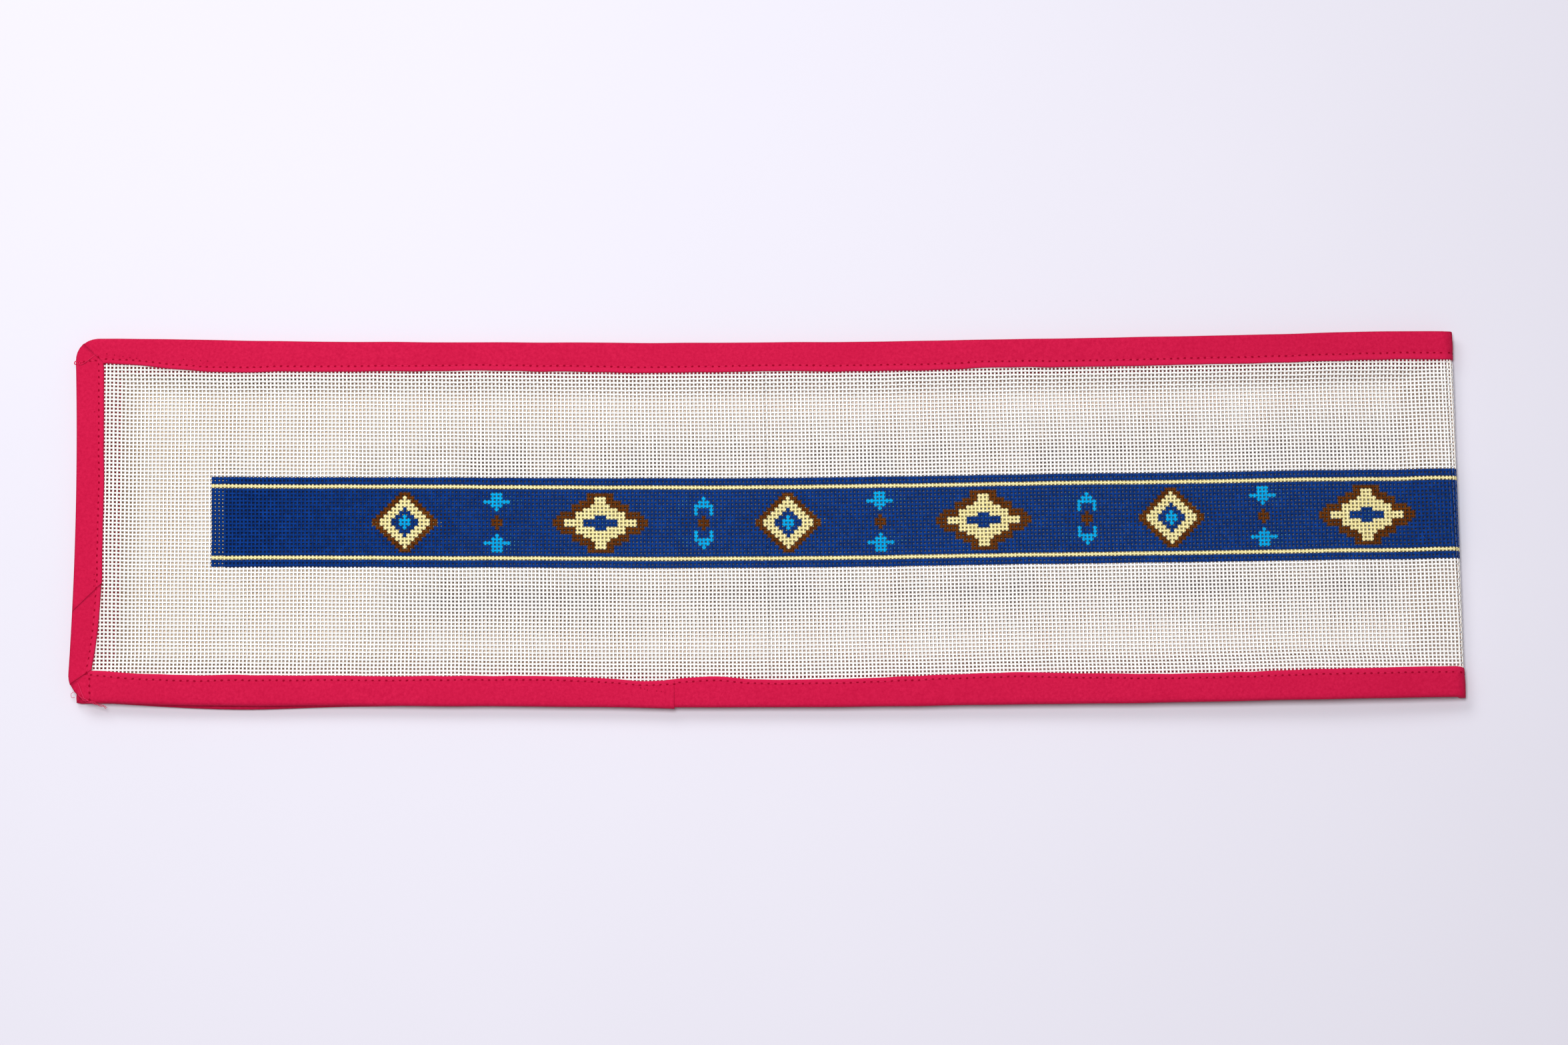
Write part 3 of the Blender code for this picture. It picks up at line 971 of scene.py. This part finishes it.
# Loose ends of thread on the tapes of the upper half: the radius, and the points as s, y and out
Loose = namedtuple("Loose", "radius points")
LOOSE_THREADS = rows_of(Loose, (
    (0.15, ((-248.0, 63.4, 1.55), (-250.6, 61.3, 1.75), (-253.2, 59.6, 1.7), (-254.9, 60.1, 1.3))),
    (0.20, ((-254.9, 60.3, 1.2), (-255.6, 60.9, 0.9), (-256.1, 60.2, 0.6), (-255.5, 59.6, 0.7))),
    (0.18, ((-254.6, 60.9, 1.3), (-253.9, 59.9, 1.7), (-254.9, 59.7, 1.2), (-254.5, 60.5, 1.6))),
    (0.25, ((-251.7, -58.8, 1.45), (-251.0, -60.2, 1.65), (-250.2, -62.4, 1.6), (-248.9, -65.2, 1.35))),
    (0.08, ((-252.6, -62.0, 1.4), (-254.0, -62.9, 0.9), (-253.8, -64.2, 0.7), (-252.5, -64.2, 1.2))),
    (0.16, ((-251.4, -63.2, 1.4), (-250.2, -64.3, 1.45), (-248.6, -64.9, 1.4), (-246.9, -66.0, 1.0))),
    (0.14, ((-250.9, -63.6, 1.3), (-249.4, -65.3, 1.1), (-247.9, -65.5, 1.35), (-245.9, -66.5, 0.8))),
    (0.12, ((-249.8, -64.9, 1.2), (-248.0, -66.1, 0.9), (-246.4, -66.2, 1.0), (-244.8, -67.0, 0.5))),
    (0.12, ((-247.6, -65.6, 1.2), (-245.6, -66.0, 1.3), (-244.2, -66.9, 0.9), (-242.9, -67.0, 0.6))),
    (0.10, ((-245.4, -66.2, 1.1), (-243.9, -66.9, 0.9), (-242.4, -67.1, 0.7), (-240.9, -68.0, 0.2))),
    (0.09, ((-244.6, -66.5, 0.9), (-243.4, -67.5, 0.4), (-242.2, -67.5, 0.4), (-241.3, -68.5, 0.0))),
))
LOOSE_SIDES = 6
LOOSE_STEPS = 8


def smooth_path(points, steps):
    """A smooth path through the points, with so many steps from each to the next."""
    points = np.asarray(points, float)
    before = np.vstack([2 * points[0] - points[1], points])[:-1]
    after = np.vstack([points, 2 * points[-1] - points[-2]])[1:]
    path = []
    for i in range(len(points) - 1):
        a, b = points[i], points[i + 1]
        leave, arrive = (b - before[i]) / 2, (after[i + 1] - a) / 2
        for t in np.arange(steps) / steps:
            path.append(curve(t, a, leave, b, arrive))
    return np.array([*path, points[-1]])


def loose_threads(finish):
    """The loose ends of sewing thread."""
    points, faces, before = [], [], 0
    angles = 2 * np.pi * np.arange(LOOSE_SIDES) / LOOSE_SIDES
    for thread in LOOSE_THREADS:
        path = smooth_path(thread.points, LOOSE_STEPS)
        centre = on_cloth(path[:, 0], path[:, 1], path[:, 2])
        run = np.gradient(centre, axis=0)
        run /= np.linalg.norm(run, axis=-1, keepdims=True)
        side = np.cross(run, [0.0, 0.0, 1.0])
        side /= np.maximum(np.linalg.norm(side, axis=-1, keepdims=True), 0.05)
        up = np.cross(side, run)
        ends = np.minimum(np.arange(len(path)), np.arange(len(path))[::-1])
        radius = thread.radius * np.clip(0.35 + 0.4 * ends, 0, 1)[:, None, None]
        points.append((centre[:, None] + radius * circle(side, up, angles)).reshape(-1, 3))
        faces.append(tube_faces(1, len(path), LOOSE_SIDES, before))
        before += len(points[-1])
    return mesh_piece("loose_threads", np.concatenate(points), [np.concatenate(faces)], finish)


SPECULAR = 0.08
# The colour sockets of a Mix node, which has others of the same names
MIX_FIRST, MIX_SECOND, MIX_RESULT = 6, 7, 2


class Nodes:
    """A material's nodes, added and joined by short calls."""

    def __init__(self, name, roughness):
        self.finish = bpy.data.materials.new(name)
        self.finish.use_nodes = True
        self.tree = self.finish.node_tree
        self.shader = self.tree.nodes["Principled BSDF"]
        self.shader.inputs["Roughness"].default_value = roughness
        self.shader.inputs["Specular IOR Level"].default_value = SPECULAR

    def put(self, socket, value):
        """A link where value is a socket, and otherwise a plain value."""
        if isinstance(value, bpy.types.NodeSocket):
            self.tree.links.new(value, socket)
        else:
            socket.default_value = value

    def attribute(self, name):
        made = self.tree.nodes.new("ShaderNodeAttribute")
        made.attribute_name = name
        return made

    def math(self, operation, first, second=0.0):
        made = self.tree.nodes.new("ShaderNodeMath")
        made.operation = operation
        self.put(made.inputs[0], first)
        self.put(made.inputs[1], second)
        return made.outputs[0]

    def mix(self, share, first, second):
        made = self.tree.nodes.new("ShaderNodeMix")
        made.data_type = "RGBA"
        self.put(made.inputs["Factor"], share)
        self.put(made.inputs[MIX_FIRST], first)
        self.put(made.inputs[MIX_SECOND], second)
        return made.outputs[MIX_RESULT]

    def between(self, share, shades):
        """A colour between the two shades, which are given without their alpha."""
        return self.mix(share, (*shades[0], 1), (*shades[1], 1))

    def plus(self, start, size, value):
        """Start and so much of a value."""
        return self.math("ADD", start, self.math("MULTIPLY", value, size))

    def noise(self, place, scale, detail=2.0, roughness=0.5):
        made = self.tree.nodes.new("ShaderNodeTexNoise")
        self.put(made.inputs["Vector"], place)
        made.inputs["Scale"].default_value = scale
        made.inputs["Detail"].default_value = detail
        made.inputs["Roughness"].default_value = roughness
        return made.outputs["Fac"]

    def spread(self, value, low, high):
        """Value's range from low to high, stretched to 0 to 1."""
        made = self.tree.nodes.new("ShaderNodeMapRange")
        self.put(made.inputs["Value"], value)
        made.inputs["From Min"].default_value = low
        made.inputs["From Max"].default_value = high
        return made.outputs["Result"]

    def place(self):
        return self.tree.nodes.new("ShaderNodeTexCoord").outputs["Object"]

    def parts(self, vector):
        made = self.tree.nodes.new("ShaderNodeSeparateXYZ")
        self.put(made.inputs[0], vector)
        return made.outputs

    def bump(self, height, strength, distance):
        made = self.tree.nodes.new("ShaderNodeBump")
        made.inputs["Strength"].default_value = strength
        made.inputs["Distance"].default_value = distance
        self.put(made.inputs["Height"], height)
        self.put(self.shader.inputs["Normal"], made.outputs["Normal"])


# A colour's darkest and lightest shades
Shades = namedtuple("Shades", "dark light")
CANVAS_FRONT = Shades((0.965, 0.95, 0.94), (0.985, 0.975, 0.965))
# The threads' backs show only through the holes and at the threads' lower sides: painted warm shade
BROWNER_BACK_SHADE = Shades((0.92, 0.74, 0.53), (0.97, 0.83, 0.64))
PALER_BACK_SHADE = Shades((0.97, 0.79, 0.65), (0.985, 0.85, 0.73))
TAPE_SHADES = Shades((0.50, 0.004, 0.046), (0.66, 0.013, 0.074))
THREAD_SHADES = Shades((0.60, 0.009, 0.066), (0.72, 0.026, 0.105))
# Painted shade for the needle holes and pin pricks
HOLE_PAINTED_SHADE = Shades((0.24, 0.0, 0.012), (0.36, 0.0, 0.024))
FLOOR_SHADES = Shades((0.722, 0.703, 0.787), (0.742, 0.723, 0.807))
# The tape's worn patches, its lip's painted highlight and its weave's flecks, and how much each shows
TAPE_WORN = (0.52, 0.005, 0.047, 1)
TAPE_LIP_HIGHLIGHT = (0.68, 0.015, 0.084, 1)
TAPE_FLECK = (0.46, 0.003, 0.038, 1)
WORN_SHARE, LIP_HIGHLIGHT_SHARE, FLECK_SHARE = 0.3, 0.5, 0.25
WARP_PITCH = 0.42
WEFT_PITCH = 0.36

# A paint: its darkest and lightest shades, and what shows of it at the threads' backs, where it soaked
# through and where it did not
Paint = namedtuple("Paint", "dark light soaked behind")
NAVY_PAINT = Paint(
    (0.001, 0.027, 0.165), (0.002, 0.046, 0.28), (0.02, 0.035, 0.10), (0.17, 0.20, 0.30)
)
CREAM_PAINT = Paint(
    (0.86, 0.76, 0.36), (0.95, 0.86, 0.46), (0.62, 0.48, 0.24), (0.60, 0.47, 0.25)
)
SKY_PAINT = Paint((0.0, 0.34, 0.72), (0.0, 0.46, 0.86), (0.08, 0.34, 0.56), (0.12, 0.38, 0.58))
BROWN_PAINT = Paint(
    (0.10, 0.024, 0.002), (0.17, 0.048, 0.004), (0.09, 0.035, 0.01), (0.15, 0.08, 0.04)
)
# Between these x, in metres, the painted shade of the canvas's backs turns from browner to paler, and
# the paint stops soaking through
BACK_SHADE_PALES = (-0.24, 0.05)
SOAKING_STOPS = (-0.19, -0.06)
# Above so much of the attribute a thread's front shows; below it the lower sides show the back, with
# its painted warm shade
FRONT_FROM = 0.25


def canvas_finish():
    """White sized canvas, painted by thread, with painted warm shade, browner to the left, at its
    backs.
    """
    nodes = Nodes("painted_canvas", 0.78)
    place = nodes.place()
    along_x = nodes.parts(place)[0]
    paint = nodes.attribute("paint")
    split = nodes.tree.nodes.new("ShaderNodeSeparateColor")
    nodes.put(split.inputs[0], paint.outputs["Color"])
    navy, cream, sky = split.outputs
    brown = paint.outputs["Alpha"]
    fibre = nodes.noise(place, 2600.0)
    patch = nodes.noise(place, 90.0, 3.0)
    brushed = nodes.noise(place, 420.0, 3.0, 0.6)
    ragged = nodes.plus(0.38, 0.24, nodes.noise(place, 900.0))
    other_paints = nodes.math("ADD", cream, nodes.math("ADD", sky, brown))
    any_paint = nodes.math("ADD", navy, other_paints)
    front = nodes.between(nodes.spread(patch, 0.35, 0.7), CANVAS_FRONT)
    # Painted warm shade of the threads' backs, browner towards the free end and paler towards the fold
    browner_shade = nodes.between(nodes.spread(patch, 0.35, 0.7), BROWNER_BACK_SHADE)
    paler_shade = nodes.between(nodes.spread(patch, 0.35, 0.7), PALER_BACK_SHADE)
    back = nodes.mix(nodes.spread(along_x, *BACK_SHADE_PALES), browner_shade, paler_shade)
    # Navy lies under every paint, so that no white shows where two colours meet
    layers = (
        (any_paint, NAVY_PAINT),
        (cream, CREAM_PAINT),
        (sky, SKY_PAINT),
        (brown, BROWN_PAINT),
    )
    for weight, layer in layers:
        here = nodes.math("GREATER_THAN", weight, ragged)
        shade = nodes.between(nodes.spread(brushed, 0.4, 0.75), (layer.dark, layer.light))
        soaked = nodes.spread(along_x, *SOAKING_STOPS)
        behind = nodes.between(soaked, (layer.soaked, layer.behind))
        front = nodes.mix(here, front, shade)
        back = nodes.mix(here, back, behind)
    facing = nodes.math("GREATER_THAN", nodes.attribute("front").outputs["Fac"], FRONT_FROM)
    nodes.put(nodes.shader.inputs["Base Color"], nodes.mix(facing, back, front))
    nodes.put(nodes.shader.inputs["Roughness"], nodes.plus(0.66, 0.25, fibre))
    nodes.bump(fibre, 0.35, 0.00012)
    return nodes.finish


def tape_finish():
    """Crimson cotton tape: a fine plain weave, mottled, with a painted highlight on the raised lip of
    its turned edges.
    """
    nodes = Nodes("crimson_tape", 0.9)
    place = nodes.place()
    along_it, across_it, lip = nodes.parts(nodes.attribute("place").outputs["Vector"])
    warp = nodes.math("SINE", nodes.math("MULTIPLY", along_it, 2 * math.pi / WARP_PITCH))
    weft = nodes.math("SINE", nodes.math("MULTIPLY", across_it, 2 * math.pi / WEFT_PITCH))
    weave = nodes.math("MULTIPLY", warp, weft)
    mottle = nodes.noise(place, 900.0, 4.0, 0.75)
    broad = nodes.noise(place, 35.0)
    grain = nodes.noise(place, 1500.0)
    base = nodes.between(nodes.spread(mottle, 0.3, 0.7), TAPE_SHADES)
    worn = nodes.math("MULTIPLY", nodes.spread(broad, 0.4, 0.7), WORN_SHARE)
    base = nodes.mix(worn, base, TAPE_WORN)
    # Painted highlight: the raised lip at the leaf's inner edge is made lighter
    base = nodes.mix(nodes.math("MULTIPLY", lip, LIP_HIGHLIGHT_SHARE), base, TAPE_LIP_HIGHLIGHT)
    fleck = nodes.math("MULTIPLY", nodes.spread(weave, -1.0, 1.0), FLECK_SHARE)
    nodes.put(nodes.shader.inputs["Base Color"], nodes.mix(fleck, base, TAPE_FLECK))
    nodes.put(nodes.shader.inputs["Roughness"], nodes.plus(0.74, 0.2, grain))
    height = nodes.plus(nodes.math("MULTIPLY", weave, 0.5), 1.2, grain)
    nodes.bump(height, 0.5, 0.00010)
    return nodes.finish


def thread_finish():
    """Sewing thread, a little lighter than the tape, with its twist."""
    nodes = Nodes("sewing_thread", 0.6)
    twist = nodes.noise(nodes.place(), 3000.0, 1.0)
    nodes.put(nodes.shader.inputs["Base Color"], nodes.between(twist, THREAD_SHADES))
    nodes.bump(twist, 0.4, 0.0001)
    return nodes.finish


def hole_shade_finish():
    """Painted shade for the inside of a needle hole: a dark crimson."""
    nodes = Nodes("painted_hole_shade", 0.95)
    shade = nodes.noise(nodes.place(), 1200.0)
    nodes.put(nodes.shader.inputs["Base Color"], nodes.between(shade, HOLE_PAINTED_SHADE))
    return nodes.finish


def floor_finish():
    """A plain pale floor, very faintly uneven."""
    nodes = Nodes("pale_floor", 0.9)
    shade = nodes.noise(nodes.place(), 6.0)
    nodes.put(nodes.shader.inputs["Base Color"], nodes.between(shade, FLOOR_SHADES))
    return nodes.finish


FLOOR_HALF = 2000.0
# The camera, as the photo was taken: at this distance from the place it is aimed at
CAMERA_AIM = (6.6, -1.2, 5.8)
CAMERA_DISTANCE = 1226.0
CAMERA_TILT = math.radians(8.78)
CAMERA_ROLL = math.radians(0.36)
LENS = 76.5
SENSOR = 36.0
# Soft studio light, a row a lamp: where it is, its size both ways and its power in watts
Lamp = namedtuple("Lamp", "name x y z width height power")
LAMPS = (
    Lamp("softbox_behind", -480.0, 780.0, 1000.0, 800.0, 600.0, 7.6),
    Lamp("softbox_above", -130.0, 20.0, 1380.0, 420.0, 320.0, 13.6),
)
SKY_LIGHT = (1.0, 0.99, 1.0, 1.0)
SKY_STRENGTH = 0.235


def floor():
    """The floor."""
    half = FLOOR_HALF
    points = [(-half, -half, 0), (half, -half, 0), (half, half, 0), (-half, half, 0)]
    mesh_piece("floor", points, [[(0, 1, 2, 3)]], floor_finish())


def aimed(thing, place, target):
    """Puts a thing at place and turns its -Z at target, both in millimetres."""
    thing.location = Vector(place) * METRES
    way = (Vector(target) - Vector(place)).to_track_quat("-Z", "Y")
    thing.rotation_euler = way.to_euler()


def studio():
    """The lamps, the even light all round, the camera, and colours shown as they are."""
    bpy.context.scene.view_settings.view_transform = "Standard"
    for lamp in LAMPS:
        light = bpy.data.lights.new(lamp.name, "AREA")
        light.shape = "RECTANGLE"
        light.size = lamp.width * METRES
        light.size_y = lamp.height * METRES
        light.energy = lamp.power
        made = bpy.data.objects.new(lamp.name, light)
        bpy.context.scene.collection.objects.link(made)
        aimed(made, (lamp.x, lamp.y, lamp.z), (0, 0, 0))
    world = bpy.data.worlds.new("studio")
    world.use_nodes = True
    sky = world.node_tree.nodes["Background"]
    sky.inputs["Color"].default_value = SKY_LIGHT
    sky.inputs["Strength"].default_value = SKY_STRENGTH
    bpy.context.scene.world = world
    turned = Matrix.Rotation(CAMERA_TILT, 3, "X") @ Matrix.Rotation(-CAMERA_ROLL, 3, "Z")
    data = bpy.data.cameras.new("camera")
    data.lens = LENS
    data.sensor_width = SENSOR
    camera = bpy.data.objects.new("camera", data)
    place = Vector(CAMERA_AIM) + CAMERA_DISTANCE * (turned @ Vector((0, 0, 1)))
    camera.matrix_world = Matrix.Translation(place * METRES) @ turned.to_4x4()
    bpy.context.scene.collection.objects.link(camera)
    bpy.context.scene.camera = camera


# The node of the part that each tape stands for
TAPES_OF = {
    "tape_far": "binding_far",
    "tape_near": "binding_near",
    "tape_near_left": "binding_near_left",
    "tape_end_upper": "binding_end_upper",
    "tape_end_lower": "binding_end_lower",
}


def main():
    """Makes every piece, hides the parts that the canvas and tapes stand for, and says how the canvas
    was cut.
    """
    studio()
    floor()
    cloth = canvas_finish()
    tape = tape_finish()
    sewn = thread_finish()
    canvases = canvas_pieces(cloth)
    for piece in canvases:
        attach(piece, "root")
        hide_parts("canvas")
    runs = tape_runs()
    # The needle holes come as dark discs of painted shade
    stitches, holes = sewing(runs, sewn, hole_shade_finish())
    loose = loose_threads(sewn)
    for name, its_runs in runs.items():
        piece = tape_piece(name, its_runs, tape)
        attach(piece, "root")
        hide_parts(TAPES_OF[name])
    for piece in (stitches, holes, loose):
        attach(piece, "root")


main()
